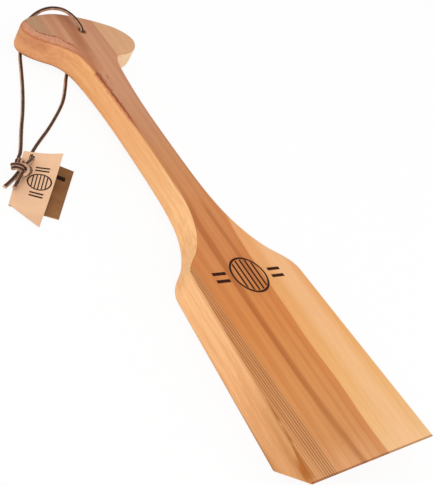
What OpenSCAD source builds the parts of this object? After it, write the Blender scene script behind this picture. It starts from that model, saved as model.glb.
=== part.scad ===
// Wooden grill scraper: a paddle sawn from one thick board, with a blade bevelled underneath,
// a waisted handle and a cross grip. A leather lace runs through a hole in the grip, is tied in
// a knot and carries a folded card tag. The scraper lies on a table, on the heel of its bevel
// and on the lace under its grip. X runs across the blade, Y from the blade to the grip and
// Z up from the table. The origin is under the middle of the paddle.

/* [Board] */
// Length from the scraping edge to the back of the grip
board_len = 452; // [400:1:520]
// Thickness of the board
board_t = 22.1; // [18:0.1:28]

/* [Blade] */
// Width of the scraping edge
edge_w = 122.5; // [100:0.5:150]
// Width of the blade where its shoulders begin
shoulder_w = 106; // [90:1:130]
// Distance from the scraping edge to where the shoulders begin
shoulder_y = 147; // [120:1:152]
// Distance from the scraping edge to the middle of the shoulders
flank_y = 169; // [162:1:180]
// Width across the middle of the shoulders
flank_w = 77; // [68:1:86]
// How far the underside is bevelled back from the scraping edge
bevel_run = 21.7; // [12:0.1:32]
// Height of the flat land left on the scraping edge
edge_land = 0.6; // [0.2:0.1:2]
// Round-over of the blade's long edges
blade_round = 1.2; // [0.5:0.1:3]

/* [Handle] */
// Distance from the scraping edge to the neck
neck_y = 208; // [196:1:230]
// Width of the neck, where the shoulders have run out
neck_w = 39; // [34:1:46]
// Distance from the scraping edge to the narrowest part of the handle
waist_y = 290; // [270:1:310]
// Width of the handle at its narrowest
waist_w = 29; // [26:0.5:34]
// Distance from the back of the grip to where the handle starts to flare
flare_back = 88; // [80:1:96]
// Width of the handle where it starts to flare
flare_w = 35; // [32:1:38]
// How far the middle of the handle stands off to the right, as it is sawn by hand
handle_shift = 0.7; // [-1:0.1:1]
// Round-over where the hand holds the handle
hold_round = 5; // [2:0.5:7]
// Round-over of the edges of the neck and the grip
grip_round = 4.5; // [2:0.5:6]

/* [Grip] */
// Width of the grip from tip to tip
grip_w = 119; // [100:1:132]
// Distance from the back of the grip to its right tip
right_tip_back = 25; // [22:0.5:28]
// Distance from the back of the grip to its left tip, which is rounded off more
left_tip_back = 33; // [29:0.5:35]
// Distance from the back of the grip to the front edge of its right arm
right_arm_back = 48; // [45:0.5:51]
// Distance from the back of the grip to the front edge of its left arm
left_arm_back = 51; // [48:0.5:53]
// Width across the points where the arms' front edges start
arm_w = 68; // [60:1:76]

/* [Lace] */
// Thickness of the lace
lace_d = 2.8; // [2:0.1:3]
// Diameter of the hole that the lace runs through
hole_d = 5.6; // [5:0.1:8]
// Distance from the back of the grip to the middle of the hole
hole_back = 24.5; // [18:0.5:30]
// Distance of the hole to the right of the middle
hole_x = 2.5; // [-4:0.5:4]

/* [Tag] */
// Height of the tag along its fold
tag_h = 59; // [50:1:70]
// Width of the tag's back leaf at its top
back_leaf_w = 36.5; // [34:0.5:42]
// Width of the back leaf at its foot
back_foot_w = 33; // [30:0.5:34]
// Width of the tag's front leaf at its top
front_leaf_w = 26.5; // [23:0.5:30]
// Width of the front leaf at its foot
front_foot_w = 21.5; // [18:0.5:23]
// How much lower the front leaf's free corner reaches than the foot of the fold
front_drop = 11.5; // [1:0.5:14]
// How much higher the back leaf's free corner stays than the foot of the fold
back_rise = 4; // [1:0.5:8]
// Thickness of the card
card_t = 0.5; // [0.3:0.1:0.8]
// Gap between the leaves at the fold
fold_gap = 0.5; // [0.3:0.1:1]
// Angle at which the top of the front leaf leaves the fold
leaf_open = 14; // [6:1:24]
// Angle through which the top of the front leaf bends on
leaf_bend = 18; // [6:1:30]

/* [Hidden] */
eps = 0.01;

// How the paddle lies: its heel is on the table and its grip is on the lace
lace_gap = 0.1;
lace_under_y = board_len - 64;
tilt = atan((lace_d + lace_gap) / (lace_under_y - bevel_run));
front_y = bevel_run - bevel_run * cos(tilt) - board_t * sin(tilt);
back_y = bevel_run + (board_len - bevel_run) * cos(tilt);
middle_y = (front_y + back_y) / 2;

// Each station on the outline is [x, y, heading, handle before, handle after]
function handle_stations(shift) = [
    [shoulder_w / 2, shoulder_y, 93.6, 0, 10],
    [flank_w / 2, flank_y, 136, 8, 9.5],
    [neck_w / 2 + shift, neck_y, 104, 20, 22],
    [waist_w / 2 + shift, waist_y, 90, 28, 28],
    [flare_w / 2 + shift, board_len - flare_back, 84, 24, 18],
];
right_stations = concat(handle_stations(handle_shift), [
    [arm_w / 2, board_len - right_arm_back, 14, 13, 9],
    [grip_w / 2, board_len - right_tip_back, 90, 10, 8],
    [39, board_len - 5, 166, 12, 12],
    [0, board_len, 180, 18, 0],
]);
left_stations = concat(handle_stations(-handle_shift), [
    [arm_w / 2, board_len - left_arm_back, 14, 13, 11],
    [grip_w / 2 - 1.5, board_len - left_tip_back, 90, 9, 9],
    [36, board_len - 9, 157, 12, 12],
    [0, board_len, 180, 18, 0],
]);

function along(p, heading, d) = [p.x + d * cos(heading), p.y + d * sin(heading)];
function bezier(a, b, c, d, s) =
    pow(1 - s, 3) * a + 3 * pow(1 - s, 2) * s * b + 3 * (1 - s) * s * s * c + pow(s, 3) * d;
steps = 9;
function side(st) = [
    for (i = [1 : len(st) - 1], k = [0 : steps - 1])
        let (from = [st[i - 1].x, st[i - 1].y], to = [st[i].x, st[i].y])
            bezier(from, along(from, st[i - 1][2], st[i - 1][4]), along(to, st[i][2], -st[i][3]),
                to, k / steps),
];
edge_point = [edge_w / 2, 0];
function mirrored(p) = [-p.x, p.y];
function backwards(v) = [for (i = [len(v) - 1 : -1 : 0]) v[i]];
outline = concat([edge_point], side(right_stations), [[0, board_len]],
    backwards([for (p = concat([edge_point], side(left_stations))) mirrored(p)]));
count = len(outline);

// The direction out of the outline at a point, with the front corners facing sideways
function unit(v) = v / norm(v);
function outward(i) =
    i == 0 ? [1, 0] : i == count - 1 ? [-1, 0] :
    let (d = unit(outline[i + 1] - outline[i - 1])) [d.y, -d.x];

// The round-over grows along the shoulders, and is widest where the hand holds the handle
hold_from = (neck_y + waist_y) / 2;
hold_to = board_len - flare_back + 20;
hold_fade = 60;
function eased(s) = let (c = min(max(s, 0), 1)) c * c * (3 - 2 * c);
function round_at(y) =
    blade_round + (grip_round - blade_round) * eased((y - shoulder_y) / (neck_y - shoulder_y))
        + (hold_round - grip_round) * eased((y - hold_from) / hold_fade)
            * eased((hold_to - y) / hold_fade);

// Where the bevel has got to at a height, and a side of the blade there
function bevel_y(z) = max(bevel_run * (1 - z / (board_t - edge_land)), 0);
function blade_side(y) = [edge_w / 2 - (edge_w - shoulder_w) / 2 * y / shoulder_y, y];
round_steps = 4;
function ring(turn, top) = [
    for (i = [0 : count - 1])
        let (r = round_at(outline[i].y), drop = r * (1 - cos(turn)),
            z = top ? board_t - drop : drop, front = blade_side(bevel_y(z)),
            p = (i == 0 ? front : i == count - 1 ? mirrored(front) : outline[i])
                - outward(i) * r * (1 - sin(turn)))
            [p.x, p.y, z],
];
rings = concat(
    [for (k = [0 : round_steps]) ring(90 * k / round_steps, false)],
    [for (k = [round_steps : -1 : 0]) ring(90 * k / round_steps, true)]);

// Joins closed rings of n points into a solid. Its flat ends are ladders of four-sided faces, each
// across the ring from one side to the other
module skin(rings, n) {
    last = len(rings) - 1;
    rungs = [for (i = [0 : ceil(n / 2) - 2])
        i + 1 == n - 2 - i ? [i, i + 1, n - 1 - i] : [i, i + 1, n - 2 - i, n - 1 - i]];
    polyhedron(
        points = [for (r = rings) each r],
        faces = concat(
            rungs,
            [for (k = [0 : last - 1], i = [0 : n - 1]) each
                let (j = (i + 1) % n, a = k * n, b = a + n)
                    [[a + i, b + i, a + j], [a + j, b + i, b + j]]],
            [for (f = rungs) [for (i = backwards(f)) last * n + i]]));
}

module paddle() {
    color("#d99f66")
        translate([0, bevel_run - middle_y, 0])
            rotate([tilt, 0, 0])
                translate([0, -bevel_run, 0])
                    difference() {
                        skin(rings, count);
                        translate([hole_x, board_len - hole_back, -eps])
                            cylinder(h = board_t + 2 * eps, d = hole_d, $fn = 32);
                    }
}

// The lace's route, from the knot up the left strand, over the back of the grip, down through
// its hole, under the grip and back along the right strand, through the tag, to the knot
rest = lace_d / 2;
lace_route = [
    [-117.6, 46.6, 8], [-114.5, 53.3, 4.4], [-109.8, 60.5, 2], [-104.6, 68.5, rest],
    [-94, 91.5, rest], [-82, 116.5, rest], [-71.5, 141, rest], [-62, 165.5, rest],
    [-54.5, 185.5, rest], [-48.5, 198.5, rest], [-42, 211, 1.9], [-38.7, 218.3, 6],
    [-38, 220.7, 12.5], [-35.5, 220.7, 19], [-32, 220.3, 24.6], [-27, 220.3, 28.6],
    [-20, 220.5, 31], [-12, 219.3, 32], [-6, 216, 31.4], [-2, 210.5, 30.3], [1, 205, 28.2],
    [2.9, 202.1, 25], [3, 202.1, 18], [3, 202.1, 11], [2.9, 202, 6.4], [2.2, 200.9, 3.1],
    [0.4, 198.2, rest], [-3.6, 192, rest], [-11, 180.5, rest], [-21.5, 163.5, rest], [-30.5, 147, rest],
    [-41, 129.7, rest], [-55, 112, rest], [-71, 93.8, rest], [-85.5, 78.8, rest],
    [-95.3, 68, rest], [-99.3, 62, rest], [-100.1, 60.6, 1.6], [-102, 57.4, 4], [-104.8, 53, 6.9],
    [-109.5, 48.8, 7.8], [-115, 44.6, 7],
];
left_tail = [[-119.8, 40.4, 7.5], [-124.5, 36.4, 5.4], [-128, 34.4, 2.6], [-131.9, 32, rest]];
right_tail = [[-117.8, 39.3, 8], [-121.3, 35, 6.6], [-124.7, 31.1, 5.4], [-127.8, 27.9, 4.6]];
lace_sides = 8;

// A smooth curve through points, with so many steps between each two, on or over the table
function curve(pts, steps) = [
    for (i = [0 : len(pts) - 2], k = [0 : steps - (i == len(pts) - 2 ? 0 : 1)])
        let (a = pts[max(i - 1, 0)], b = pts[i], c = pts[i + 1], d = pts[min(i + 2, len(pts) - 1)],
            s = k / steps, p = b + s * (c - a) / 2 + s * s * (a - 2.5 * b + 2 * c - d / 2)
                + s * s * s * (1.5 * (b - c) + (d - a) / 2))
            [p.x, p.y, max(p.z, rest)],
];

// Rings of the tube along a line, each turned as little as it can be from the one before
function headings(line) = [
    for (i = [0 : len(line) - 1])
        unit(line[min(i + 1, len(line) - 1)] - line[max(i - 1, 0)])];
function square_to(v, axis) = unit(v - (v * axis) * axis);
function tube(line, r) =
    let (ways = headings(line), first = square_to([0.3, 0.2, 1], ways[0]),
        sides = [for (i = 0, v = first; i < len(line);
            i = i + 1, v = i < len(line) ? square_to(v, ways[i]) : v) v])
        [for (i = [0 : len(line) - 1]) [
            for (k = [0 : lace_sides - 1])
                line[i] + r * (cos(360 * k / lace_sides) * sides[i]
                    + sin(360 * k / lace_sides) * cross(ways[i], sides[i]))]];

// The overhand knot, its two ends joined, drawn as one thick strand for the pair of laces. One
// half is thinner, so that its ends lie inside the other's
knot_at = [-117.9, 43.6, 8.9];
knot_turn = 27;
knot_loop = 1.75;
knot_rise = 2.4;
knot_strands = [1.8, 1.65];
knot_step = 7.5;
function turned(p, a) = [p.x * cos(a) - p.y * sin(a), p.x * sin(a) + p.y * cos(a), p.z];
function knot_line(from, to) = [
    for (a = [from : knot_step : to])
        knot_at + turned([knot_loop * (sin(a) + 2 * sin(2 * a)),
            knot_loop * (cos(a) - 2 * cos(2 * a)), -knot_rise * sin(3 * a)], knot_turn)];

module lace() {
    color("#5a3d2e") {
        for (line = [curve(lace_route, 2), curve(left_tail, 2), curve(right_tail, 2)])
            skin(tube(line, lace_d / 2), lace_sides);
        for (half = [0, 1])
            skin(tube(knot_line(180 * half - half * knot_step, 180 + half * (180 + knot_step)),
                knot_strands[half]), lace_sides);
    }
}

// Where the tag lies: the foot of its fold on the table, and its top edge on the lace
fold_foot = [-135, 15.5];
fold_heading = 57.6;
tag_lift = asin((lace_d + 2 * lace_gap) / tag_h);
slot_l = 9.6;
slot_w = 4.4;
slot_s = 5.5;
slot_t = tag_h - 6.2;
leaf_steps_s = 6;
leaf_steps_t = 8;
fold_steps = 6;
fold_r = fold_gap / 2;
fold_room = 5;

// A point of the front leaf, s across from the fold and t up along it, n out from its inside
function leaf_point(s, t, n) =
    let (share = max(t, 0) / tag_h, from = leaf_open * (1 + 6 * share) / 7,
        turn = leaf_bend * (1 + 9 * share) / 10, to = from + turn * s / front_leaf_w,
        r = front_leaf_w / turn * 180 / PI)
        [r * (sin(to) - sin(from)) - n * sin(to), t,
            card_t + fold_gap + r * (cos(from) - cos(to)) + n * cos(to)];

// The card's section at t: along the back leaf, round the fold, and out along the front leaf
function section(t) = concat(
    [[back_leaf_w, t, 0]],
    [for (k = [0 : fold_steps]) let (a = 180 * k / fold_steps, r = fold_r + card_t)
        [-r * sin(a), t, card_t + fold_r - r * cos(a)]],
    [for (i = [1 : leaf_steps_s]) leaf_point(front_leaf_w * i / leaf_steps_s, t, card_t)],
    [for (i = [leaf_steps_s : -1 : 1]) leaf_point(front_leaf_w * i / leaf_steps_s, t, 0)],
    [for (k = [fold_steps : -1 : 0]) let (a = 180 * k / fold_steps)
        [-fold_r * sin(a), t, card_t + fold_r - fold_r * cos(a)]],
    [[back_leaf_w, t, card_t]]);
sections = [for (t = [-front_drop, for (j = [0 : leaf_steps_t]) tag_h * j / leaf_steps_t]) section(t)];

module lace_slot() {
    for (end = [-1, 1])
        translate([slot_s, slot_t + end * (slot_l - slot_w) / 2, -card_t])
            cylinder(h = 8, d = slot_w, $fn = 24);
    translate([slot_s - slot_w / 2, slot_t - (slot_l - slot_w) / 2, -card_t])
        cube([slot_w, slot_l - slot_w, 8]);
}

// One leaf's outline, from the foot of the fold to a free corner there, drawn between two heights
module leaf(foot, top_w, low, high) {
    translate([0, 0, low])
        linear_extrude(height = high - low)
            polygon([[-fold_room, 0], [0, 0], foot, [top_w, tag_h], [top_w, tag_h + fold_room],
                [-fold_room, tag_h + fold_room]]);
}

module hang_tag() {
    color("#d8a576")
        translate([fold_foot.x, fold_foot.y, 0])
            rotate([0, 0, fold_heading - 90])
                rotate([tag_lift, 0, 0])
                    difference() {
                        intersection() {
                            skin(sections, len(sections[0]));
                            union() {
                                leaf([back_foot_w, back_rise], back_leaf_w + eps, -fold_room,
                                    card_t + fold_r + eps);
                                leaf([front_foot_w, -front_drop], front_leaf_w + eps,
                                    card_t + fold_r, front_leaf_w);
                            }
                        }
                        lace_slot();
                    }
}

paddle();
lace();
hang_tag();
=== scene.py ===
import math

import bmesh
import bpy
from mathutils import Matrix, Vector


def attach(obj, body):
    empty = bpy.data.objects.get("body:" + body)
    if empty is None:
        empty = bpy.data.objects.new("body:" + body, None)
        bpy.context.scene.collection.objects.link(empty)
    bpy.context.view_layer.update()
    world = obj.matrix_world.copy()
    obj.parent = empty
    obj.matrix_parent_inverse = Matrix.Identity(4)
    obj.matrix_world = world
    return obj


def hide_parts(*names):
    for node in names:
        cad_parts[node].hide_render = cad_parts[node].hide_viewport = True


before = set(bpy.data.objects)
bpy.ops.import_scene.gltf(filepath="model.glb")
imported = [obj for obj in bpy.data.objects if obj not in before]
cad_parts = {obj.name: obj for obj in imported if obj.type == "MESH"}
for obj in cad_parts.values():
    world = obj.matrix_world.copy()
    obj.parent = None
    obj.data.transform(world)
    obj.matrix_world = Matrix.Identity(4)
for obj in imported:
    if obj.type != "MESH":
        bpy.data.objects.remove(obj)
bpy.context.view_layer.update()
mmSize = 0.001


# Helpers for numbers and vectors

def mm(points):
    return [Vector(p) * mmSize for p in points]


def clamp(v, low=0.0, high=1.0):
    return max(low, min(high, v))


def eased(v):
    v = clamp(v)
    return v * v * (3 - 2 * v)


def linear(rgb):
    # A colour of 0 to 255 a channel, as the shaders want it.
    out = []
    for channel in rgb:
        c = channel / 255
        out.append(c / 12.92 if c <= 0.04045 else ((c + 0.055) / 1.055) ** 2.4)
    return (*out, 1.0)


# Camera

cameraView = {
    "place": (-0.3897, -0.3128, 0.3237),
    "forward": (0.68828, 0.47976, -0.54415),
    "right": (0.72384, -0.50408, 0.47113),
    "lens": 58.93,
}


def makeCamera(v):
    camera = bpy.data.cameras.new("camera")
    camera.lens = v["lens"]
    camera.sensor_width = 36
    camera.clip_start = 0.01
    camera.clip_end = 50
    shown = bpy.data.objects.new("camera", camera)
    bpy.context.scene.collection.objects.link(shown)
    back = -Vector(v["forward"]).normalized()
    right = Vector(v["right"])
    right = (right - right.dot(back) * back).normalized()
    up = back.cross(right)
    turn = Matrix((right, up, back)).transposed().to_4x4()
    shown.matrix_world = Matrix.Translation(v["place"]) @ turn
    bpy.context.scene.camera = shown


makeCamera(cameraView)


# Shader helpers

class Nodes:
    # Adds and links nodes in one tree.

    def __init__(self, tree):
        self.tree = tree

    def add(self, kind, inputs=None, **settings):
        node = self.tree.nodes.new(kind)
        for name, value in settings.items():
            setattr(node, name, value)
        for key, value in (inputs or {}).items():
            self.give(node.inputs[key], value)
        return node

    def give(self, socket, value):
        if isinstance(value, bpy.types.NodeSocket):
            self.tree.links.new(value, socket)
        elif value is not None:
            socket.default_value = value

    def math(self, operation, a, b=None):
        return self.add("ShaderNodeMath", {0: a, 1: b}, operation=operation).outputs[0]

    def band(self, value, low, high, soft):
        # 1 from low to high, falling off over soft at each side.
        up = self.ramp(value, low - soft, low)
        down = self.ramp(value, high, high + soft, 1.0, 0.0)
        return self.math("MULTIPLY", up, down)

    def ramp(self, value, low, high, start=0.0, end=1.0):
        node = self.add("ShaderNodeMapRange", {"Value": value, "From Min": low, "From Max": high,
                                               "To Min": start, "To Max": end},
                        interpolation_type="SMOOTHSTEP")
        return node.outputs["Result"]

    def noise(self, vector, scale, detail=2.0, rough=0.5, distortion=0.0):
        node = self.add("ShaderNodeTexNoise", {"Vector": vector, "Scale": scale, "Detail": detail,
                                               "Roughness": rough, "Distortion": distortion})
        return node.outputs["Fac"]

    def plus(self, *values):
        total = values[0]
        for value in values[1:]:
            total = self.math("ADD", total, value)
        return total

    def times(self, *values):
        total = values[0]
        for value in values[1:]:
            total = self.math("MULTIPLY", total, value)
        return total

    def minus(self, a, b):
        return self.math("SUBTRACT", a, b)

    def curve(self, value, points, low=-70.0, high=70.0):
        # A smooth curve through points, read at a value.
        first, last = points[0][0], points[-1][0]
        share = self.add("ShaderNodeMapRange", {"Value": value, "From Min": first,
                                                "From Max": last})
        node = self.add("ShaderNodeFloatCurve", {"Value": share.outputs["Result"]})
        line = node.mapping.curves[0]
        while len(line.points) < len(points):
            line.points.new(0.5, 0.5)
        for spot, (a, b) in zip(line.points, points):
            spot.location = ((a - first) / (last - first), (b - low) / (high - low))
        node.mapping.update()
        return self.plus(self.times(node.outputs["Value"], high - low), low)

    def stretched(self, vector, scale):
        return self.add("ShaderNodeMapping", {"Vector": vector, "Scale": scale}).outputs["Vector"]

    def mix(self, share, a, b, blend="MIX"):
        node = self.add("ShaderNodeMix", data_type="RGBA", blend_type=blend)
        self.give(node.inputs[0], share)
        self.give(node.inputs[6], a)
        self.give(node.inputs[7], b)
        return node.outputs[2]

    def colours(self, value, stops):
        node = self.add("ShaderNodeValToRGB", {"Fac": value})
        elements = node.color_ramp.elements
        while len(elements) < len(stops):
            elements.new(0.5)
        for element, (place, _) in zip(elements, stops):
            element.position = place
        for element, (_, rgb) in zip(elements, stops):
            element.color = linear(rgb)
        return node.outputs["Color"]


def newGroup(name, ins=(), outs=()):
    tree = bpy.data.node_groups.new(name, "ShaderNodeTree")
    for label, kind in ins:
        tree.interface.new_socket(label, in_out="INPUT", socket_type=kind)
    for label, kind in outs:
        tree.interface.new_socket(label, in_out="OUTPUT", socket_type=kind)
    nodes = Nodes(tree)
    return tree, nodes, nodes.add("NodeGroupInput"), nodes.add("NodeGroupOutput")


def newMaterial(name):
    material = bpy.data.materials.new(name)
    material.use_nodes = True
    tree = material.node_tree
    tree.nodes.clear()
    nodes = Nodes(tree)
    shader = nodes.add("ShaderNodeBsdfPrincipled")
    out = nodes.add("ShaderNodeOutputMaterial")
    tree.links.new(shader.outputs[0], out.inputs["Surface"])
    return material, nodes, shader


# Mesh helpers

def newPiece(name, verts, faces, materials=(), indices=None, smoothAngle=35):
    mesh = bpy.data.meshes.new(name)
    mesh.from_pydata([tuple(v) for v in verts], [], faces)
    for material in materials:
        mesh.materials.append(material)
    if indices is not None:
        mesh.polygons.foreach_set("material_index", indices)
    mesh.validate()
    mesh.shade_smooth()
    mesh.set_sharp_from_angle(angle=math.radians(smoothAngle))
    piece = bpy.data.objects.new(name, mesh)
    bpy.context.scene.collection.objects.link(piece)
    return piece


def cut(piece, name, cutter):
    # Takes a closed mesh out of a piece.
    tool = newPiece(name, *cutter)
    change = piece.modifiers.new(name, "BOOLEAN")
    change.operation = "DIFFERENCE"
    change.solver = "EXACT"
    change.object = tool
    bpy.context.view_layer.update()
    shown = piece.evaluated_get(bpy.context.evaluated_depsgraph_get())
    piece.data = bpy.data.meshes.new_from_object(shown)
    piece.modifiers.clear()
    bpy.data.objects.remove(tool)


def weighNormals(piece, weight=60):
    # Turns the normals of small faces towards the large flat ones beside them.
    change = piece.modifiers.new("normals", "WEIGHTED_NORMAL")
    change.mode = "FACE_AREA"
    change.weight = weight
    change.keep_sharp = True
    bpy.context.view_layer.update()
    shown = piece.evaluated_get(bpy.context.evaluated_depsgraph_get())
    piece.data = bpy.data.meshes.new_from_object(shown)
    piece.modifiers.clear()


def skinFaces(count, ringSize):
    # Faces between closed rings, and a ladder of faces over each end.
    faces = []
    for k in range(count - 1):
        a, b = k * ringSize, (k + 1) * ringSize
        for i in range(ringSize):
            j = (i + 1) % ringSize
            faces.append((a + i, a + j, b + j, b + i))
    last = (count - 1) * ringSize
    for i in range((ringSize + 1) // 2 - 1):
        rung = [i, i + 1, ringSize - 2 - i, ringSize - 1 - i]
        if rung[1] == rung[2]:
            rung.pop(2)
        faces.append(tuple(reversed(rung)))
        faces.append(tuple(last + n for n in rung))
    return faces


def spline(points, steps):
    # A smooth curve through points, with so many steps between each two.
    out = []
    last = len(points) - 1
    for i in range(last):
        a, b = points[max(i - 1, 0)], points[i]
        c, d = points[i + 1], points[min(i + 2, last)]
        for k in range(steps + (i == last - 1)):
            s = k / steps
            out.append(b + s * (c - a) / 2 + s * s * (a - 2.5 * b + 2 * c - d / 2)
                       + s ** 3 * (1.5 * (b - c) + (d - a) / 2))
    return out


def twoTones(name, v, dark, pale, rough):
    # A surface that goes from dark to pale in clouds, with a fine grain as its relief.
    material, n, shader = newMaterial(name)
    place = n.add("ShaderNodeTexCoord").outputs["Object"]
    clouds, grain = n.noise(place, *v["clouds"]), n.noise(place, *v["grain"])
    share = n.plus(n.times(clouds, v["cloudShare"]), n.times(grain, v["grainShare"]))
    colour = n.mix(n.ramp(share, *v["spread"]), linear(dark), linear(pale))
    n.give(shader.inputs["Base Color"], colour)
    shader.inputs["Roughness"].default_value = rough
    shader.inputs["Specular IOR Level"].default_value = v["specular"]
    bump = n.add("ShaderNodeBump", {"Height": grain, "Strength": v["bump"],
                                    "Distance": v["relief"]})
    n.give(shader.inputs["Normal"], bump.outputs["Normal"])
    return material, n, shader, place, grain, colour


def ringMark(n, dx, dy, v):
    # 1 on a ring, the bars across it and the short rules beside it, and 0 off them.
    # The second value is how far a place is from the ring's middle.
    def bar(value, middle, half):
        away = n.math("ABSOLUTE", n.minus(value, middle))
        return n.ramp(away, half - v["soft"], half + v["soft"], 1.0, 0.0)

    reach = n.math("SQRT", n.plus(n.times(dx, dx), n.times(dy, dy)))
    mark = bar(reach, v["ring"], v["ringHalf"])
    inside = n.ramp(reach, *v["inside"], 1.0, 0.0)
    for spot in v["bars"]:
        mark = n.math("MAXIMUM", mark, n.times(bar(dx, spot, v["barHalf"]), inside))
    sides = n.math("ABSOLUTE", dx)
    for row in v["rules"]:
        rule = n.times(bar(dy, row, v["ruleHalf"]), bar(sides, v["ruleAt"], v["ruleReach"]))
        mark = n.math("MAXIMUM", mark, rule)
    return mark, reach


# Leather: a dark dyed face, and paler cut edges. Each kind is dark, pale and its roughness

leather = {
    "face": ((48, 29, 21), (86, 59, 46), 0.5),
    # The edges' pale colour is partly the cut leather's own and partly painted highlight
    "edge": ((164, 122, 98), (220, 178, 148), 0.75),
    "flesh": ((62, 44, 36), (106, 80, 66), 0.8),
    "clouds": (260, 4, 0.6), "grain": (1500, 3, 0.7), "cloudShare": 0.8, "grainShare": 0.5,
    "spread": (0.42, 0.85), "specular": 0.12, "bump": 0.35, "relief": 0.0003,
}
leatherKinds = [twoTones("leather" + kind.capitalize(), leather, *leather[kind])[0]
                for kind in ("face", "edge", "flesh")]
print("leather made")


# Lace: the points of its route are those of the CAD, in millimetres

rest = 1.4
laceRoute = [
    (-117.6, 46.6, 8), (-114.5, 53.3, 4.4), (-109.8, 60.5, 2), (-104.6, 68.5, rest),
    (-94, 91.5, rest), (-82, 116.5, rest), (-71.5, 141, rest), (-62, 165.5, rest),
    (-54.5, 185.5, rest), (-48.5, 198.5, rest), (-42, 211, 1.9), (-38.7, 218.3, 6),
    (-38, 220.7, 12.5), (-35.5, 220.7, 19), (-32, 220.3, 24.6), (-27, 220.3, 28.6),
    (-20, 220.5, 31), (-12, 219.3, 32), (-6, 216, 31.4), (-2, 210.5, 30.3), (1, 205, 28.2),
    (2.9, 202.1, 25), (3, 202.1, 18), (3, 202.1, 11), (2.9, 202, 6.4), (2.2, 200.9, 3.1),
    (0.4, 198.2, rest), (-3.6, 192, rest), (-11, 180.5, rest), (-21.5, 163.5, rest),
    (-30.5, 147, rest), (-41, 129.7, rest), (-55, 112, rest), (-71, 93.8, rest),
    (-85.5, 78.8, rest), (-95.3, 68, rest), (-99.3, 62, rest), (-100.1, 60.6, 1.6),
    (-102, 57.4, 4), (-104.8, 53, 6.9), (-109.5, 48.8, 7.8), (-115, 44.6, 7),
]
leftTail = [(-119.8, 40.4, 7.5), (-124.5, 36.4, 5.4), (-128, 34.4, 2.6), (-131.9, 32, rest)]
rightTail = [(-117.8, 39.3, 8), (-121.3, 35, 6.6), (-124.7, 31.1, 5.4), (-127.8, 27.9, 4.6)]
lace = {
    "width": 2.55, "thick": 2.3, "corner": 0.3, "cornerPoints": 3, "steps": 6,
    "arcFrom": 9, "arcTo": 25, "arcFade": 4, "arcTwist": -40, "diameter": 0.0028,
}
knot = {
    "at": (-117.7, 43.2, 8.9), "turn": 27, "loop": 1.75, "long": 1.25, "rise": 2.3, "steps": 96,
    "width": 2.3, "thick": 2.0, "apart": 1.2, "lean": 2.2, "near": 0.01,
}


def laceSection(width, thick, corner, cornerPoints):
    # A rounded rectangle's points, and for each the kind of leather on the side that follows it.
    points, kinds = [], []
    corners = [(1, 1, 0), (-1, 1, 90), (-1, -1, 180), (1, -1, 270)]
    sideKinds = [0, 1, 2, 1]
    for index, (sx, sy, start) in enumerate(corners):
        for k in range(cornerPoints):
            turn = math.radians(start + 90 * k / (cornerPoints - 1))
            points.append((sx * (width / 2 - corner) + corner * math.cos(turn),
                           sy * (thick / 2 - corner) + corner * math.sin(turn)))
            ending = k == cornerPoints - 1
            plain = 1 if k or index % 2 else sideKinds[index - 1]
            kinds.append(sideKinds[index] if ending else plain)
    return points, kinds


def laceRings(line, up, section, twist=None):
    # Rings along a line, each turned as little as it can be from the one before.
    rings = []
    side = None
    for i, p in enumerate(line):
        way = (line[min(i + 1, len(line) - 1)] - line[max(i - 1, 0)]).normalized()
        start = up(i) if callable(up) else (Vector(up) if side is None else side)
        side = (start - start.dot(way) * way).normalized()
        turn = math.radians(twist[i]) if twist else 0
        n = side * math.cos(turn) + way.cross(side) * math.sin(turn)
        b = n.cross(way)
        rings.append([p + (x * b + y * n) * mmSize for x, y in section])
    return rings


def strand(line, up, width, thick, twist=None):
    points, kinds = laceSection(width, thick, lace["corner"], lace["cornerPoints"])
    rings = laceRings(line, up, points, twist)
    verts = [v for ring in rings for v in ring]
    faces = skinFaces(len(rings), len(points))
    around = (len(rings) - 1) * len(points)
    indices = [kinds[i % len(points)] for i in range(around)] + [1] * (len(faces) - around)
    return verts, faces, indices


def joined(parts):
    verts, faces, indices = [], [], []
    for v, f, m in parts:
        base = len(verts)
        verts += v
        faces += [tuple(base + i for i in face) for face in f]
        indices += m
    return verts, faces, indices


def onTable(line, height):
    return [Vector((p.x, p.y, max(p.z, height * mmSize))) for p in line]


laceLine = onTable(spline(mm(laceRoute), lace["steps"]), rest)
laceTwist = []
for i in range(len(laceLine)):
    place = i / lace["steps"]
    rising = eased((place - lace["arcFrom"]) / lace["arcFade"])
    falling = eased((lace["arcTo"] - place) / lace["arcFade"])
    laceTwist.append(lace["arcTwist"] * rising * falling)
laceParts = strand(laceLine, (0, 0, 1), lace["width"], lace["thick"], laceTwist)
lacePiece = newPiece("lace", laceParts[0], laceParts[1], leatherKinds, laceParts[2])


def knotLine(v, sideways):
    # An overhand knot's path. Each of its two laces lies a little to one side of it.
    middle = Vector(v["at"]) * mmSize
    turn = Matrix.Rotation(math.radians(v["turn"]), 3, "Z")

    def point(a):
        return turn @ (Vector((
            v["loop"] * (math.sin(a) + 2 * math.sin(2 * a)),
            v["loop"] * v["long"] * (math.cos(a) - 2 * math.cos(2 * a)),
            -v["rise"] * math.sin(3 * a))) * mmSize)

    line, ups = [], []
    for k in range(v["steps"]):
        a = 2 * math.pi * k / (v["steps"] - 1)
        p = point(a)
        way = (point(a + v["near"]) - point(a - v["near"])).normalized()
        out = Vector((p.x, p.y, v["lean"] * p.z))
        out = (out - out.dot(way) * way).normalized()
        line.append(middle + p + way.cross(out) * sideways * mmSize)
        ups.append(out)
    return line, ups


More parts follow.
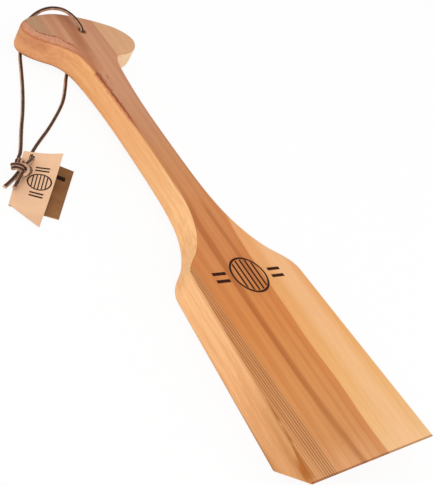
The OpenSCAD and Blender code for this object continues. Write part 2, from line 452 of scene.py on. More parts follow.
def makeKnot(v):
    parts = []
    for sideways in (-v["apart"], v["apart"]):
        line, ups = knotLine(v, sideways)
        parts.append(strand(line, lambda i, ups=ups: ups[i], v["width"], v["thick"]))
    for tail in (leftTail, rightTail):
        line = onTable(spline(mm(tail), lace["steps"]), rest)
        parts.append(strand(line, (0, 0, 1), lace["width"], lace["thick"]))
    verts, faces, indices = joined(parts)
    return newPiece("lace_knot", verts, faces, leatherKinds, indices)


knotPiece = makeKnot(knot)
print("lace and knot made")


# Tag: one folded card with a slot through both leaves

tag = {
    "foot": (-135, 15.5), "heading": 57.6, "lift": 3.0, "h": 59, "backTop": 36.5, "backFoot": 33,
    "backRise": 4, "frontTop": 26.5, "frontFoot": 21.5, "frontDrop": 11.5, "card": 0.5,
    "gap": 0.5, "open": 14, "openFoot": 1 / 7, "bend": 18, "bendFoot": 1 / 10, "rows": 28,
    "leafSteps": 16, "foldSteps": 10,
    "slotS": 5.5, "slotT": 52.8, "slotL": 8.8, "slotW": 3.6, "slotZ": (-1, 8), "slotSteps": 10,
    "sharp": 35,
    "print": {"at": (14.2, 29), "ring": 7.6, "ringHalf": 0.55, "inside": (7.2, 7.5),
              "bars": (-4.6, -2.3, 0, 2.3, 4.6), "barHalf": 0.42, "soft": 0.12,
              "rules": (-14.2, -11.2, 11.2, 14.2), "ruleHalf": 0.75, "ruleAt": 0,
              "ruleReach": 4.6},
    "insideBar": {"s": (20.5, 31.5), "t": (43.8, 48.2), "soft": 0.2},
}
tagLift = math.asin(tag["lift"] / tag["h"])
tagPlace = (Matrix.Translation((tag["foot"][0] * mmSize, tag["foot"][1] * mmSize, 0))
            @ Matrix.Rotation(math.radians(tag["heading"] - 90), 4, "Z")
            @ Matrix.Rotation(tagLift, 4, "X"))


def leafPoint(v, s, t, n):
    # A point of the front leaf, s from the fold and t up from its foot. The leaf opens and bends
    # most at its top.
    share = max(t, 0) / v["h"]
    start = math.radians(v["open"] * (v["openFoot"] + (1 - v["openFoot"]) * share))
    turn = math.radians(v["bend"] * (v["bendFoot"] + (1 - v["bendFoot"]) * share))
    end = start + turn * s / v["frontTop"]
    r = v["frontTop"] / turn
    return Vector((r * (math.sin(end) - math.sin(start)) - n * math.sin(end), t,
                   v["card"] + v["gap"] + r * (math.cos(start) - math.cos(end))
                    + n * math.cos(end)))


def makeTag(v):
    foldR = v["gap"] / 2
    rings = []
    for j in range(v["rows"] + 1):
        share = j / v["rows"]
        t = v["h"] * share
        backW = v["backFoot"] + (v["backTop"] - v["backFoot"]) * share
        backT = t + v["backRise"] * (1 - share)
        frontW = v["frontFoot"] + (v["frontTop"] - v["frontFoot"]) * share

        def front(i, n):
            across = i / v["leafSteps"]
            return leafPoint(v, frontW * across, t - v["frontDrop"] * across * (1 - share), n)

        def fold(k, r):
            turn = math.pi * k / v["foldSteps"]
            return Vector((-r * math.sin(turn), t, v["card"] + foldR - r * math.cos(turn)))

        ring = [Vector((backW, backT, 0))]
        ring += [fold(k, foldR + v["card"]) for k in range(v["foldSteps"] + 1)]
        ring += [front(i, v["card"]) for i in range(1, v["leafSteps"] + 1)]
        ring += [front(i, 0) for i in range(v["leafSteps"], 0, -1)]
        ring += [fold(k, foldR) for k in range(v["foldSteps"], -1, -1)]
        ring += [Vector((backW, backT, v["card"]))]
        rings.append([p * mmSize for p in ring])
    size = len(rings[0])
    outside = 1 + v["foldSteps"] + v["leafSteps"]
    kinds = [0] * outside + [2] + [1] * (size - outside - 2) + [2]
    faces = [tuple(reversed(f)) for f in skinFaces(len(rings), size)]
    around = (len(rings) - 1) * size
    indices = [kinds[i % size] for i in range(around)] + [2] * (len(faces) - around)
    return [p for ring in rings for p in ring], faces, indices


def slotCutter(v):
    outline = []
    for end, start in ((1, 0), (-1, 180)):
        for k in range(v["slotSteps"] + 1):
            turn = math.radians(start + 180 * k / v["slotSteps"])
            outline.append((v["slotS"] + v["slotW"] / 2 * math.cos(turn),
                            v["slotT"] + end * (v["slotL"] - v["slotW"]) / 2
                            + v["slotW"] / 2 * math.sin(turn)))
    rings = [[Vector((x, y, z)) * mmSize for x, y in outline] for z in v["slotZ"]]
    return [p for ring in rings for p in ring], skinFaces(2, len(outline))


# Card: each kind is dark, pale and its roughness
card = {
    "outside": ((226, 180, 144), (242, 197, 158), 0.85),
    # The inside's darker brown is partly the card's own colour and partly painted shade of the
    # nearly closed fold
    "inside": ((126, 82, 48), (154, 108, 70), 0.85),
    "edge": ((190, 150, 116), (226, 180, 144), 0.85), "ink": (34, 16, 10),
    "clouds": (45, 3, 0.55), "grain": (1400, 3, 0.75), "cloudShare": 0.7, "grainShare": 0.4,
    "spread": (0.35, 0.75), "specular": 0.08, "bump": 0.2, "relief": 0.0002,
    "inkWorn": (0.3, 0.55, 0.85, 1.0), "leafEdge": (0.1, 0.3),
}


def printMarks(n, s, t):
    # The front's print: a ring with five bars across it, between two pairs of rules.
    place = tag["print"]["at"]
    return ringMark(n, n.minus(s, place[0]), n.minus(t, place[1]), tag["print"])[0]


def insideMarks(n, s, t):
    # One plain bar printed inside, near the top of the back leaf.
    v = tag["insideBar"]
    return n.times(n.band(t, *v["t"], v["soft"]), n.band(s, *v["s"], v["soft"]))


def cardMaterial(kind, marks=None, onFront=True):
    # Marks are printed on one leaf alone, the front one or the back one.
    material, n, shader, place, fibres, colour = twoTones("card" + kind.capitalize(), card,
                                                          *card[kind])
    if marks:
        back = tagPlace.inverted()
        local = n.add("ShaderNodeMapping", {"Vector": place, "Location": back.to_translation(),
                                            "Rotation": back.to_euler("XYZ")})
        parts = n.add("ShaderNodeSeparateXYZ", {"Vector": local.outputs["Vector"]})
        s, t, height = [n.times(parts.outputs[axis], 1 / mmSize) for axis in "XYZ"]
        low, high = card["leafEdge"]
        leaf = n.ramp(height, tag["card"] + low, tag["card"] + high)
        ink = n.times(marks(n, s, t), leaf if onFront else n.minus(1.0, leaf))
        colour = n.mix(n.times(ink, n.ramp(fibres, *card["inkWorn"])), colour,
                       linear(card["ink"]))
        n.give(shader.inputs["Base Color"], colour)
    return material


tagVerts, tagFaces, tagKinds = makeTag(tag)
tagPiece = newPiece("tag", tagVerts, tagFaces, [
    cardMaterial("outside", printMarks),
    cardMaterial("inside", insideMarks, onFront=False),
    cardMaterial("edge"),
], tagKinds, tag["sharp"])
cut(tagPiece, "tagSlot", slotCutter(tag))
tagPiece.data.transform(tagPlace)
tagPiece.data.set_sharp_from_angle(angle=math.radians(tag["sharp"]))
print("tag made")


# Paddle: the CAD's outline, drawn with finer steps

board = {
    "len": 452, "t": 22.1, "edgeW": 122.5, "shoulderW": 106, "shoulderY": 147, "flankY": 169,
    "flankW": 77, "bevelRun": 21.7, "land": 0.6, "bladeRound": 1.2, "neckY": 208, "neckW": 39,
    "waistY": 290, "waistW": 29, "flareBack": 88, "flareW": 35, "shift": 0.7, "holdRound": 5,
    "holdFade": 60, "holdPast": 20, "gripRound": 4.5, "gripW": 119,
    "rightTip": 25, "leftTip": 33, "leftTipIn": 1.5, "rightArm": 48, "leftArm": 51, "armW": 68,
    "rightBack": (39, 5), "leftBack": (36, 9), "holeD": 5.6, "holeBack": 24.5, "holeX": 2.5,
    "holePast": 1, "middleY": 225.906, "tilt": 0.4536, "steps": 22, "roundSteps": 8,
    "holeSides": 48, "sharp": 30,
}


def outlineSides(v):
    # Each station: across, along, the outline's heading there in degrees, and how far it keeps
    # to that heading before and after.
    def handle(shift):
        return [
            (v["shoulderW"] / 2, v["shoulderY"], 93.6, 0, 10),
            (v["flankW"] / 2, v["flankY"], 136, 8, 9.5),
            (v["neckW"] / 2 + shift, v["neckY"], 104, 20, 22),
            (v["waistW"] / 2 + shift, v["waistY"], 90, 28, 28),
            (v["flareW"] / 2 + shift, v["len"] - v["flareBack"], 84, 24, 18),
        ]

    right = handle(v["shift"]) + [
        (v["armW"] / 2, v["len"] - v["rightArm"], 14, 13, 9),
        (v["gripW"] / 2, v["len"] - v["rightTip"], 90, 10, 8),
        (v["rightBack"][0], v["len"] - v["rightBack"][1], 166, 12, 12),
        (0, v["len"], 180, 18, 0),
    ]
    left = handle(-v["shift"]) + [
        (v["armW"] / 2, v["len"] - v["leftArm"], 14, 13, 11),
        (v["gripW"] / 2 - v["leftTipIn"], v["len"] - v["leftTip"], 90, 9, 9),
        (v["leftBack"][0], v["len"] - v["leftBack"][1], 157, 12, 12),
        (0, v["len"], 180, 18, 0),
    ]
    return right, left


def sideLine(stations, steps):
    out = []
    for a, b in zip(stations, stations[1:]):
        p, q = Vector(a[:2]), Vector(b[:2])
        pOut = p + a[4] * Vector((math.cos(math.radians(a[2])), math.sin(math.radians(a[2]))))
        qIn = q - b[3] * Vector((math.cos(math.radians(b[2])), math.sin(math.radians(b[2]))))
        for k in range(steps):
            s = k / steps
            out.append((1 - s) ** 3 * p + 3 * (1 - s) ** 2 * s * pOut + 3 * (1 - s) * s * s * qIn
                       + s ** 3 * q)
    return out


def roundAt(v, y):
    grow = eased((y - v["shoulderY"]) / (v["neckY"] - v["shoulderY"]))
    holdFrom = (v["neckY"] + v["waistY"]) / 2
    holdTo = v["len"] - v["flareBack"] + v["holdPast"]
    hold = eased((y - holdFrom) / v["holdFade"]) * eased((holdTo - y) / v["holdFade"])
    return (v["bladeRound"] + (v["gripRound"] - v["bladeRound"]) * grow
            + (v["holdRound"] - v["gripRound"]) * hold)


def makePaddle(v):
    right, left = outlineSides(v)
    front = Vector((v["edgeW"] / 2, 0))
    rightSide = [front] + sideLine(right, v["steps"])
    leftSide = [front] + sideLine(left, v["steps"])
    mirrored = [Vector((-p.x, p.y)) for p in reversed(leftSide)]
    outline = rightSide + [Vector((0, v["len"]))] + mirrored
    count = len(outline)

    def outward(i):
        if i in (0, count - 1):
            return Vector((1 if i == 0 else -1, 0))
        d = (outline[i + 1] - outline[i - 1]).normalized()
        return Vector((d.y, -d.x))

    def ring(turn, top):
        out = []
        for i, p in enumerate(outline):
            r = roundAt(v, p.y)
            drop = r * (1 - math.cos(turn))
            z = v["t"] - drop if top else drop
            if i in (0, count - 1):
                y = max(v["bevelRun"] * (1 - z / (v["t"] - v["land"])), 0)
                x = v["edgeW"] / 2 - (v["edgeW"] - v["shoulderW"]) / 2 * y / v["shoulderY"]
                p = Vector((x if i == 0 else -x, y))
            q = p - outward(i) * r * (1 - math.sin(turn))
            out.append(Vector((q.x, q.y, z)))
        return out

    turns = [math.pi / 2 * k / v["roundSteps"] for k in range(v["roundSteps"] + 1)]
    rings = [ring(a, False) for a in turns] + [ring(a, True) for a in reversed(turns)]
    verts = [p * mmSize for r in rings for p in r]
    return verts, skinFaces(len(rings), count)


def holeCutter(v):
    sides = v["holeSides"]
    rings = []
    for z in (-v["holePast"], v["t"] + v["holePast"]):
        rings.append([Vector((v["holeX"] + v["holeD"] / 2 * math.cos(2 * math.pi * k / sides),
                              v["len"] - v["holeBack"]
                              + v["holeD"] / 2 * math.sin(2 * math.pi * k / sides), z)) * mmSize
                      for k in range(sides)])
    return [p for ring in rings for p in ring], skinFaces(2, sides)


# Cedar. Places are in millimetres on the board: x across it, y from the scraping edge.
# A zone of two or four numbers is a ramp: from, to, and its values there. One of three is a
# band: low, high and its soft edge. Tints multiply the colour below, and paints cover it, each
# with its share.
cedar = {
    "heart": [(0, (228, 167, 114)), (20, (218, 151, 93)), (60, (220, 149, 86)),
              (110, (219, 141, 76)), (180, (214, 139, 82)), (220, (211, 140, 86)),
              (260, (206, 142, 93)), (300, (203, 143, 102)), (340, (205, 147, 110)),
              (385, (207, 149, 112)), (452, (200, 144, 110))],
    "sap": [(0, (244, 197, 144)), (20, (242, 188, 128)), (60, (240, 181, 116)),
            (110, (238, 173, 108)), (180, (236, 169, 110)), (400, (220, 169, 128)),
            (452, (214, 164, 123))],
    "wall": [(0, (216, 156, 106)), (30, (220, 162, 110)), (75, (240, 185, 132)),
             (140, (246, 194, 140)), (200, (252, 200, 144)), (240, (246, 194, 138)),
             (300, (241, 182, 126)), (380, (240, 182, 124)), (398, (224, 164, 115)),
             (410, (220, 158, 111)), (424, (230, 170, 122)), (452, (224, 164, 114))],
    "worn": (214, 152, 118), "wornDark": (182, 112, 78), "wornShare": 0.9,
    "sapLine": [(0, 11.2), (20, 10.2), (50, 11.2), (90, 10.2), (115, 11), (180, 13.5),
                (200, 17), (216, 21), (452, 21)],
    "streakLine": [(0, -13.5), (50, -17.5), (90, -18.5), (180, -16.5), (200, -15.5), (220, -11.5),
                   (250, -9), (290, -8), (330, -11), (360, -13), (400, -9),
                   (425, -7), (452, -7)],
    "streakShare": [(0, 1), (200, 1), (235, 0.3), (330, 0.35), (365, 0.8), (400, 0.45),
                    (452, 0.3)],
    "crease": [(0, 36), (150, 32), (190, 17), (350, 17), (385, 12), (395, 30), (410, 50),
               (452, 56)],
    "creaseRight": 58, "creaseRange": (0, 90), "turnWidth": 0.084,
    "tearLine": [(-62, 436), (-54, 433), (-51, 427), (-48, 417.4), (-45, 414.5), (-41, 413),
                 (-34, 412), (-28, 411), (-24, 405.5), (-18, 403), (-14.8, 397), (-13.4, 384),
                 (-12.6, 368), (-10, 340), (-4, 320)],
    "tearRange": (310, 440), "tear": 4.0, "tearOnLobe": 2.0, "tearAhead": 6.0,
    "soft": 0.25, "softOnLobe": 1.85, "edgeIn": 2.1, "wander": 3.4,
    "ribSpace": 2.1, "ribSlope": 0.05, "ribLean": 0.1, "ribBeat": 0.3, "ribDark": 0.34,
    "ribFaint": 0.03, "ringX": 0.42, "ringZ": 0.17, "ringBeat": 0.8,
    "wedges": [((-55.6, 56.5), (-56.2, 39), 1.5), ((-56.6, 37.5), (-57.2, 25), 1.4),
               ((-57.9, 27), (-59.8, 0), 4.2), ((-58.4, 25), (-61.0, 3), 1.0)],
    "wedgePoint": 0.15, "knot": (-20.5, 15.6, 22.0),
    "mark": {"at": (-1.0, 147.0), "ring": 15.2, "ringHalf": 0.85, "inside": (13.6, 14.4),
             "bars": (-9.2, -4.6, 0, 4.6, 9.2), "barHalf": 0.85, "soft": 0.3,
             "rules": (3.2, -3.2), "ruleHalf": 1.35, "ruleAt": 26.5, "ruleReach": 6.2},
    "rough": 0.6, "charRough": 0.95, "specular": 0.12, "bump": 0.35, "depth": 0.0004,
    "relief": {"fine": 0.35, "ribs": -0.5, "mark": -1.2, "torn": -0.8},
    "noises": {
        "wander": ((1, 0.03, 0.7), 0.12, 2), "fine": ((1, 0.02, 0.8), 2.4, 3, 0.6),
        "broad": ((1, 0.01, 0.6), 0.16, 2, 0.5), "beat": ((1, 0.01, 0.5), 0.7, 1),
        "figure": ((1, 0.04, 1.6), 0.22, 3, 0.6, 0.5),
        "endFigure": ((0.1, 1, 1.2), 0.5, 4, 0.65, 0.3), "mottle": ((1, 0.12, 1), 0.1, 2),
        "tear": ((1, 0.22, 1), 0.55, 4, 0.7), "ragged": ((1, 0.3, 1), 0.9, 3, 0.7),
        "pores": ((1, 1, 1), 2.6, 2, 0.6),
    },
    "zones": {
        "blade": (165, 205, 1.0, 0.0), "sap": (-0.9, 0.9), "besideSap": (-6.0, -0.5, 3.5),
        "broad": (0.4, 0.65, 0.0, 0.6), "fine": (0.38, 0.72, 0.0, 0.3),
        "streak": (-0.8, 0.6, 4.6), "neckX": (0.5, 2.7, 2.0), "neckY": (150, 205, 25),
        "shadeX": (-12, -5, 7), "shadeY": (372, 410), "lobeX": (-26, -40), "lobeY": (385, 400),
        "knot": (0.3, 1.5, 0.55, 0.0), "ribLine": (0.06, 0.36, 1.0, 0.0),
        "ribCore": (-46.0, -38.5, 5.0), "ribWide": (-54.5, -36.5, 2.2), "ribEnd": (-53.0, -56.0),
        "sapBroad": (0.35, 0.65, 0.0, 0.3), "sapLight": (31, 41, 10),
        "acrossGrain": (0.45, 0.8), "wallSap": (6, 16), "figure": (0.35, 0.7, 0.0, 0.7),
        "raisedX": (-36, -44), "raisedY": (396, 402), "raisedZ": (11, 17),
        "wallFine": (0.4, 0.75, 0.0, 0.3), "foot": (2.4, 0.8), "mottle": (0.45, 0.6),
        "mottleY": (100, 40), "left": (5, -5), "right": (-5, 5),
        "roughX": (4, -4), "roughY": (285, 330), "roughZ": (14, 18),
        "onLobeX": (-2, -6), "onLobeY": (366, 376), "pastBlade": (155, 175, 0, -99),
        "wornPatches": (0.42, 0.62, 0.0, 0.55), "wornX": (-27, -17, 0, 0.8),
        "worn": (-0.4, 0.6), "wall": (-1.0, 1.0), "handleLip": (-1.0, 0.6, 1.2),
        "handleY": (215, 240), "lip": (-0.6, 1.6, 0.8), "lipX": (5, 0), "lipY": (160, 140),
        "flush": (-1.2, 1.6, 2.2), "flushSlope": (0.5, 4.0), "fringe": (-0.9, 0.9, 1.0),
        "fringeGaps": (0.4, 0.56), "torn": (-0.6, 0.6, 0.6), "tornGaps": (0.34, 0.48),
        "flecks": (0.3, 3.0, 1.0), "fleckGaps": (0.46, 0.62), "wedgeSide": (0.5, 1.2, 1.0, 0.0),
        "wedgeTip": (0.0, 0.12), "wedgeEnd": (0.8, 1.1, 1.0, 0.0), "wedgeZ": (17, 20.5),
        "rim": (3.0, 5.6, 1.0, 0.0), "rimZ": (19, 21.5), "endFacing": (0.5, 0.68),
        "bevelY": (26, 22), "gripY": (436, 444), "endRing": (0.0, 0.3, 0.6, 0.0),
        "pores": (0.3, 0.6), "shadedLandY": (1.3, 0.5), "shadedLandZ": (19.5, 21.2), "markZ": (20, 21.5),
        "markFine": (0.2, 0.5, 0.88, 1.0), "halo": (22, 14, 0.0, 0.12),
    },
    "tints": {
        "broad": ((236, 222, 212), 1.0), "fine": ((222, 202, 184), 1.0),
        "streak": ((222, 206, 192), 1.0), "neck": ((222, 206, 192), 0.8),
        "shade": ((222, 200, 184), 0.8), "sapBroad": ((240, 228, 212), 1.0),
        "figure": ((240, 220, 200), 1.0), "raised": ((228, 216, 216), 0.7),
        # foot: painted shade along the bottom of the walls
        "wallFine": ((226, 204, 182), 1.0), "foot": ((176, 150, 134), 0.7),
        "mottle": ((236, 232, 214), 0.7), "handleLip": ((216, 194, 178), 1.0),
        "lip": ((238, 226, 222), 0.6), "rim": ((150, 104, 82), 0.8),
        "end": ((222, 200, 184), 1.0), "endRings": ((190, 150, 120), 1.0),
        # land: painted shade along the scraping edge
        "land": ((170, 140, 120), 0.7),
    },
    "paints": {
        "besideSap": ((204, 122, 62), 0.38), "lobe": ((178, 140, 108), 0.75),
        "knot": ((204, 122, 62), 1.0), "betweenRibs": ((232, 174, 120), 0.4),
        "ribCore": ((146, 86, 42), 0.18), "ribs": ((146, 86, 42), 1.0),
        "ribEnd": ((232, 174, 120), 0.55), "sapLight": ((248, 196, 146), 0.6),
        "wallSap": ((252, 220, 182), 0.85), "flush": ((184, 108, 74), 0.6),
        "fringe": ((184, 108, 74), 0.55), "flecks": ((214, 124, 78), 0.6),
        "torn": ((134, 64, 38), 0.85), "wedge": ((170, 98, 34), 0.75),
        "halo": ((134, 64, 38), 1.0), "scorch": ((46, 18, 6), 1.0),
    },
}


def makeWood(v):
    tree, n, start, out = newGroup("cedar", [("Place", "NodeSocketVector"),
                                             ("Normal", "NodeSocketVector")],
                                   [("Color", "NodeSocketColor"), ("Height", "NodeSocketFloat"),
                                    ("Roughness", "NodeSocketFloat")])
    place = start.outputs["Place"]
    at = n.add("ShaderNodeSeparateXYZ", {"Vector": place})
    x, y, z = at.outputs["X"], at.outputs["Y"], at.outputs["Z"]
    facing = n.add("ShaderNodeSeparateXYZ", {"Vector": start.outputs["Normal"]})
    flat = n.math("ABSOLUTE", facing.outputs["Z"])
    endwise = n.math("ABSOLUTE", facing.outputs["Y"])
    length = board["len"]

    def along(name):
        # A colour that changes along the board.
        share = n.math("DIVIDE", y, length)
        return n.colours(share, [(spot / length, rgb) for spot, rgb in v[name]])

    def noise(name):
        stretch, *rest = v["noises"][name]
        return n.noise(n.stretched(place, stretch), *rest)

    def zone(value, name):
        edges = v["zones"][name]
        return n.band(value, *edges) if len(edges) == 3 else n.ramp(value, *edges)

    def tint(colour, share, name):
        rgb, most = v["tints"][name]
        darker = n.mix(1.0, colour, linear(rgb), "MULTIPLY")
        return n.mix(n.times(share, most), colour, darker)

    def paint(colour, share, name):
        rgb, most = v["paints"][name]
        return n.mix(n.times(share, most), colour, linear(rgb))

    # Distances from the lines that the grain follows
    wander = n.times(n.minus(noise("wander"), 0.5), v["wander"])
    fromSap = n.plus(n.minus(x, n.curve(y, v["sapLine"])), wander)
    fromStreak = n.plus(n.minus(x, n.curve(y, v["streakLine"])), wander)
    grain = n.plus(x, n.times(y, v["ribSlope"]), n.times(z, v["ribLean"]))
    isBlade, isSap = zone(y, "blade"), zone(fromSap, "sap")

    # Heartwood, with the streaks that run the whole length
    fine, broad, beat = noise("fine"), noise("broad"), noise("beat")
    heart = tint(along("heart"), zone(broad, "broad"), "broad")
    streak = n.times(zone(fromStreak, "streak"), n.curve(y, v["streakShare"], 0, 2))
    heart = tint(heart, streak, "streak")
    heart = tint(heart, n.times(zone(x, "neckX"), zone(y, "neckY")), "neck")
    heart = tint(heart, n.times(zone(x, "shadeX"), zone(y, "shadeY")), "shade")
    heart = paint(heart, n.times(zone(fromSap, "besideSap"), isBlade), "besideSap")
    heart = paint(heart, n.times(zone(x, "lobeX"), zone(y, "lobeY")), "lobe")
    knotAway = n.add("ShaderNodeVectorMath", {0: place, 1: v["knot"]},
                     operation="DISTANCE").outputs["Value"]
    heart = paint(heart, zone(knotAway, "knot"), "knot")

    # Growth lines: close and dark at the left of the blade, faint elsewhere
    phase = n.math("FRACT", n.plus(n.times(grain, 1 / v["ribSpace"]),
                                   n.times(beat, v["ribBeat"])))
    thin = zone(n.math("ABSOLUTE", n.minus(phase, 0.5)), "ribLine")
    core, wide = zone(grain, "ribCore"), zone(grain, "ribWide")
    ribShare = n.plus(n.times(core, v["ribDark"]), n.times(wide, v["ribDark"]), v["ribFaint"])
    ribs = n.times(thin, isBlade, ribShare)
    heart = paint(heart, n.times(wide, isBlade), "betweenRibs")
    heart = paint(heart, n.times(core, isBlade), "ribCore")
    heart = paint(heart, ribs, "ribs")
    heart = paint(heart, n.times(zone(grain, "ribEnd"), isBlade), "ribEnd")

    # Sapwood, paler and nearly plain
    sap = tint(along("sap"), zone(broad, "sapBroad"), "sapBroad")
    sap = paint(sap, n.times(zone(x, "sapLight"), isBlade), "sapLight")
    top = tint(n.mix(isSap, heart, sap), zone(fine, "fine"), "fine")

    # Walls cut along the grain are pale, with a soft figure
    across = zone(endwise, "acrossGrain")
    lengthwise = n.minus(1.0, across)
    figure = n.plus(n.times(noise("figure"), lengthwise), n.times(noise("endFigure"), across))
    wall = paint(along("wall"), zone(x, "wallSap"), "wallSap")
    wall = tint(wall, zone(figure, "figure"), "figure")
    raised = n.times(zone(z, "raisedZ"), zone(x, "raisedX"), zone(y, "raisedY"))
    wall = tint(wall, raised, "raised")
    wall = tint(wall, n.times(zone(fine, "wallFine"), lengthwise), "wallFine")
    # Painted shade: the wall darkens towards its foot, where it meets the floor
    wall = tint(wall, zone(z, "foot"), "foot")
    wall = tint(wall, n.times(zone(noise("mottle"), "mottle"), zone(y, "mottleY")), "mottle")

    # The crease between top and wall, ragged towards the grip. Its place is an angle of slope
    nearlyOne = 0.99999
    slope = n.times(n.math("ARCCOSINE", n.math("MINIMUM", flat, nearlyOne)), 180 / math.pi)
    crease = n.plus(n.times(n.curve(y, v["crease"], *v["creaseRange"]), zone(x, "left")),
                    n.times(zone(x, "right"), v["creaseRight"]))
    rough = n.times(zone(y, "roughY"), zone(x, "roughX"), zone(z, "roughZ"))
    onLobe = n.times(zone(y, "onLobeY"), zone(x, "onLobeX"))
    tear, ragged = n.minus(noise("tear"), 0.5), noise("ragged")
    reach = n.plus(n.times(onLobe, v["tearOnLobe"] - v["tear"]), v["tear"])
    below = n.plus(n.times(n.minus(slope, crease), v["turnWidth"]), n.times(tear, rough, reach))
    taper = (board["edgeW"] - board["shoulderW"]) / 2 / board["shoulderY"]
    fromEdge = n.plus(x, board["edgeW"] / 2, n.times(y, -taper))
    inset = n.plus(n.minus(v["edgeIn"], fromEdge), zone(y, "pastBlade"))
    below = n.math("MAXIMUM", below, inset)
    ahead = n.plus(n.minus(n.curve(x, v["tearLine"], *v["tearRange"]), y),
                   n.times(tear, v["tearAhead"]))
    darker = n.math("MAXIMUM", zone(ragged, "wornPatches"), zone(x, "wornX"))
    worn = n.mix(darker, linear(v["worn"]), linear(v["wornDark"]))
    top = n.mix(n.times(zone(ahead, "worn"), onLobe, v["wornShare"]), top, worn)
    wall = tint(wall, n.times(zone(below, "handleLip"), zone(y, "handleY")), "handleLip")
    wall = tint(wall, n.times(zone(below, "lip"), zone(y, "lipY"), zone(x, "lipX")), "lip")
    soft = n.plus(n.times(onLobe, v["softOnLobe"] - v["soft"]), v["soft"])
    colour = n.mix(zone(n.math("DIVIDE", below, soft), "wall"), top, wall)

    # Torn grain along that line, with flecks beside it
    away = n.plus(n.times(below, n.minus(1.0, onLobe)), n.times(ahead, onLobe))
    flush = n.times(zone(away, "flush"), rough, zone(slope, "flushSlope"))
    fringe = n.times(zone(below, "fringe"), onLobe, zone(ragged, "fringeGaps"), rough)
    torn = n.times(zone(away, "torn"), rough, zone(ragged, "tornGaps"))
    flecks = n.times(zone(away, "flecks"), rough, zone(ragged, "fleckGaps"))
    for share, name in ((flush, "flush"), (fringe, "fringe"), (flecks, "flecks"), (torn, "torn")):
        colour = paint(colour, share, name)

    # Torn grain in wedges along the blade's left edge
    for (x0, y0), (x1, y1), width in v["wedges"]:
        span = (x1 - x0) ** 2 + (y1 - y0) ** 2
        dx, dy = n.minus(x, x0), n.minus(y, y0)
        run = n.math("DIVIDE", n.plus(n.times(dx, x1 - x0), n.times(dy, y1 - y0)), span)
        turned = n.minus(n.times(dx, y1 - y0), n.times(dy, x1 - x0))
        aside = n.math("ABSOLUTE", n.math("DIVIDE", turned, math.sqrt(span)))
        half = n.plus(n.times(run, width), v["wedgePoint"])
        inside = zone(n.math("DIVIDE", aside, half), "wedgeSide")
        wedge = n.times(inside, zone(run, "wedgeTip"), zone(run, "wedgeEnd"), zone(z, "wedgeZ"))
        colour = paint(colour, wedge, "wedge")

    # The hole's rim is darker on the top face
    hx, hy = n.minus(x, board["holeX"]), n.minus(y, length - board["holeBack"])
    rim = n.math("SQRT", n.plus(n.times(hx, hx), n.times(hy, hy)))
    colour = tint(colour, n.times(zone(rim, "rim"), zone(z, "rimZ")), "rim")

    # End grain on the bevel and behind the grip
    isEnd = n.times(zone(endwise, "endFacing"),
                    n.math("MAXIMUM", zone(y, "bevelY"), zone(y, "gripY")))
    rings = n.math("FRACT", n.plus(n.times(x, v["ringX"]), n.times(z, v["ringZ"]),
                                   n.times(beat, v["ringBeat"])))
    ringLine = zone(n.math("ABSOLUTE", n.minus(rings, 0.5)), "endRing")
    end = tint(n.mix(isSap, along("heart"), along("sap")), 1.0, "end")
    end = tint(end, n.times(ringLine, zone(noise("pores"), "pores")), "endRings")
    colour = n.mix(isEnd, colour, end)
    # Painted shade: a thin dark line along the narrow land of the scraping edge
    colour = tint(colour, n.times(zone(y, "shadedLandY"), zone(z, "shadedLandZ")), "land")

    # Scorched mark on the blade, with a faint halo
    fromMark = [n.minus(a, b) for a, b in zip((x, y), v["mark"]["at"])]
    mark, away = ringMark(n, *fromMark, v["mark"])
    onTop = zone(z, "markZ")
    mark = n.times(mark, onTop, zone(fine, "markFine"))
    colour = paint(colour, n.times(zone(away, "halo"), onTop), "halo")
    colour = paint(colour, mark, "scorch")

    relief = {"fine": fine, "ribs": ribs, "mark": mark, "torn": torn}
    height = n.plus(*[n.times(relief[name], most) for name, most in v["relief"].items()])
    n.give(out.inputs["Roughness"], n.plus(n.times(mark, v["charRough"] - v["rough"]), v["rough"]))
    n.give(out.inputs["Color"], colour)
    n.give(out.inputs["Height"], height)
    return tree


def woodMaterial(v):
    material, n, shader = newMaterial("cedar")
    group = n.add("ShaderNodeGroup", node_tree=makeWood(v))
    objectPlace = n.add("ShaderNodeTexCoord").outputs["Object"]
    toBoard = n.add("ShaderNodeMapping", {"Vector": objectPlace,
                                          "Location": (0, board["middleY"], 0),
                                          "Scale": (1 / mmSize, 1 / mmSize, 1 / mmSize)})
    n.give(group.inputs["Place"], toBoard.outputs["Vector"])
    n.give(group.inputs["Normal"], n.add("ShaderNodeNewGeometry").outputs["Normal"])
    n.give(shader.inputs["Base Color"], group.outputs["Color"])
    n.give(shader.inputs["Roughness"], group.outputs["Roughness"])
    shader.inputs["Specular IOR Level"].default_value = v["specular"]
    bump = n.add("ShaderNodeBump", {"Height": group.outputs["Height"], "Strength": v["bump"],
                                    "Distance": v["depth"]})
    n.give(shader.inputs["Normal"], bump.outputs["Normal"])
    return material


paddleVerts, paddleFaces = makePaddle(board)
wood = woodMaterial(cedar)
paddlePiece = newPiece("paddle_wood", paddleVerts, paddleFaces, [wood],
                       smoothAngle=board["sharp"])
cut(paddlePiece, "holeCut", holeCutter(board))
paddlePiece.data.set_sharp_from_angle(angle=math.radians(board["sharp"]))
weighNormals(paddlePiece)
paddlePlace = (Matrix.Translation((0, (board["bevelRun"] - board["middleY"]) * mmSize, 0))
               @ Matrix.Rotation(math.radians(board["tilt"]), 4, "X")
               @ Matrix.Translation((0, -board["bevelRun"] * mmSize, 0)))
paddlePiece.data.transform(paddlePlace)
print("paddle made")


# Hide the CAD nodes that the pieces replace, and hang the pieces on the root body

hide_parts("paddle")
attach(paddlePiece, "root")
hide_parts("lace")
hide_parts("lace")
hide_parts("hang_tag")
for piece, slotName in ((lacePiece, "leather_lace"), (knotPiece, "leather_lace"),
                        (tagPiece, "kraft_card")):
    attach(piece, "root")
tuple(laceLine[0])
[tuple(p) for p in laceLine]


# Studio: a pale floor that looks white in the picture, even light, and one soft key

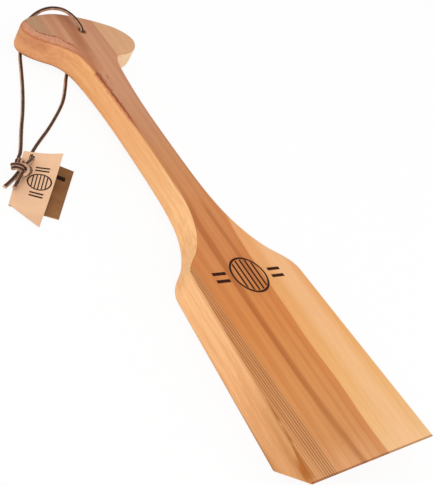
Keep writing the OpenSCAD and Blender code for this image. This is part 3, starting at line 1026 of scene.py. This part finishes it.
studio = {
    "world": 0.78, "floor": (250, 249, 247), "floorSize": 6.0, "floorDrop": 0.0002,
    "floorRough": 0.9, "white": 0.92,
    "key": {"place": (-1.6, -0.9, 1.0), "size": 3.0, "power": 19.5},
    "fill": {"place": (0.9, -1.3, 1.2), "size": 2.4, "power": 6},
}


def seenAsWhite(n):
    # 1 where the camera, a reflection or glass looks straight at the surface.
    path = n.add("ShaderNodeLightPath").outputs
    return n.math("MAXIMUM", path["Is Camera Ray"],
                  n.math("MAXIMUM", path["Is Glossy Ray"], path["Is Transmission Ray"]))


def makeStudio(v):
    world = bpy.data.worlds.new("studio")
    world.use_nodes = True
    background = world.node_tree.nodes["Background"]
    background.inputs["Color"].default_value = (1, 1, 1, 1)
    n = Nodes(world.node_tree)
    n.give(background.inputs["Strength"],
           n.plus(n.times(seenAsWhite(n), 1 - v["world"]), v["world"]))
    bpy.context.scene.world = world

    size = v["floorSize"] / 2
    material, n, shader = newMaterial("floor")
    shader.inputs["Base Color"].default_value = linear(v["floor"])
    shader.inputs["Roughness"].default_value = v["floorRough"]
    white = n.add("ShaderNodeEmission", {"Color": (1, 1, 1, 1), "Strength": 1.0})
    shown = n.add("ShaderNodeMixShader", {0: n.times(seenAsWhite(n), v["white"]),
                                          1: shader.outputs[0], 2: white.outputs[0]})
    n.give(material.node_tree.nodes["Material Output"].inputs["Surface"], shown.outputs[0])
    floor = newPiece("floor", [(-size, -size, 0), (size, -size, 0), (size, size, 0),
                               (-size, size, 0)], [(0, 1, 2, 3)], [material])
    floor.location.z = -v["floorDrop"]
    for name in ("key", "fill"):
        light = bpy.data.lights.new(name, "AREA")
        light.shape = "DISK"
        light.size = v[name]["size"]
        light.energy = v[name]["power"]
        lamp = bpy.data.objects.new(name, light)
        lamp.location = v[name]["place"]
        lamp.rotation_euler = (-Vector(v[name]["place"])).to_track_quat("-Z", "Y").to_euler()
        bpy.context.scene.collection.objects.link(lamp)
    bpy.context.scene.view_settings.view_transform = "Standard"


makeStudio(studio)
print("studio made")
